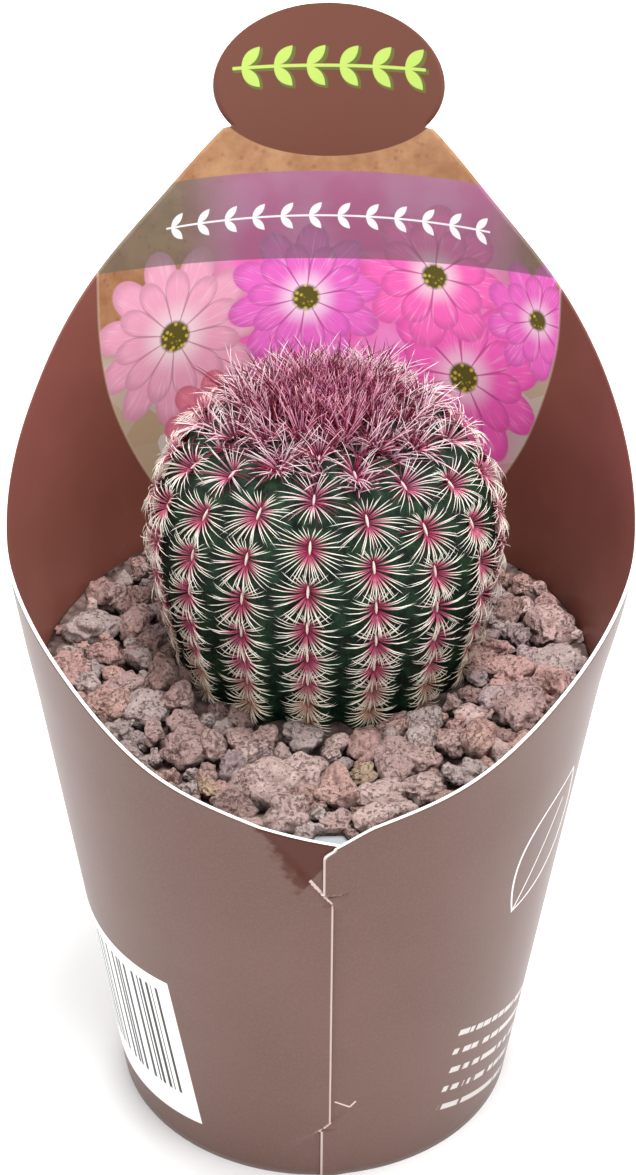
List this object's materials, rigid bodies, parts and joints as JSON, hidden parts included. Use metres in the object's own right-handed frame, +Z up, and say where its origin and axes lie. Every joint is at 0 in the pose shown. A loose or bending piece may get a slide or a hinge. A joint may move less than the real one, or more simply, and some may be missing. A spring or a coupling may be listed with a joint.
{
  "type": "potted hedgehog cactus",
  "caption": "Hedgehog cactus standing in gravel in a nursery pot, inside a flared card sleeve with a high back and an oval tab.",
  "frame": {"origin": "middle of the pot's flat foot, on the surface that the pot and the sleeve stand on", "axes": "+Z up; the sleeve's seam faces -Y and its high back with the oval tab stands at +Y"},
  "size_m": [0.0954, 0.1007, 0.1658],
  "materials": {
    "cactus_skin": "green ribbed skin under white and pink spines",
    "lava_stone": "rough pitted pinkish grey",
    "potting_soil": "crumbly, dark",
    "pot_plastic": "thin satin plastic",
    "printed_card": "glossy dark brown print"
  },
  "bodies": {
    "root": {"cactus_stem": "cactus_skin", "gravel": "lava_stone", "soil": "potting_soil", "pot": "pot_plastic", "sleeve": "printed_card"}
  },
  "joints": []
}
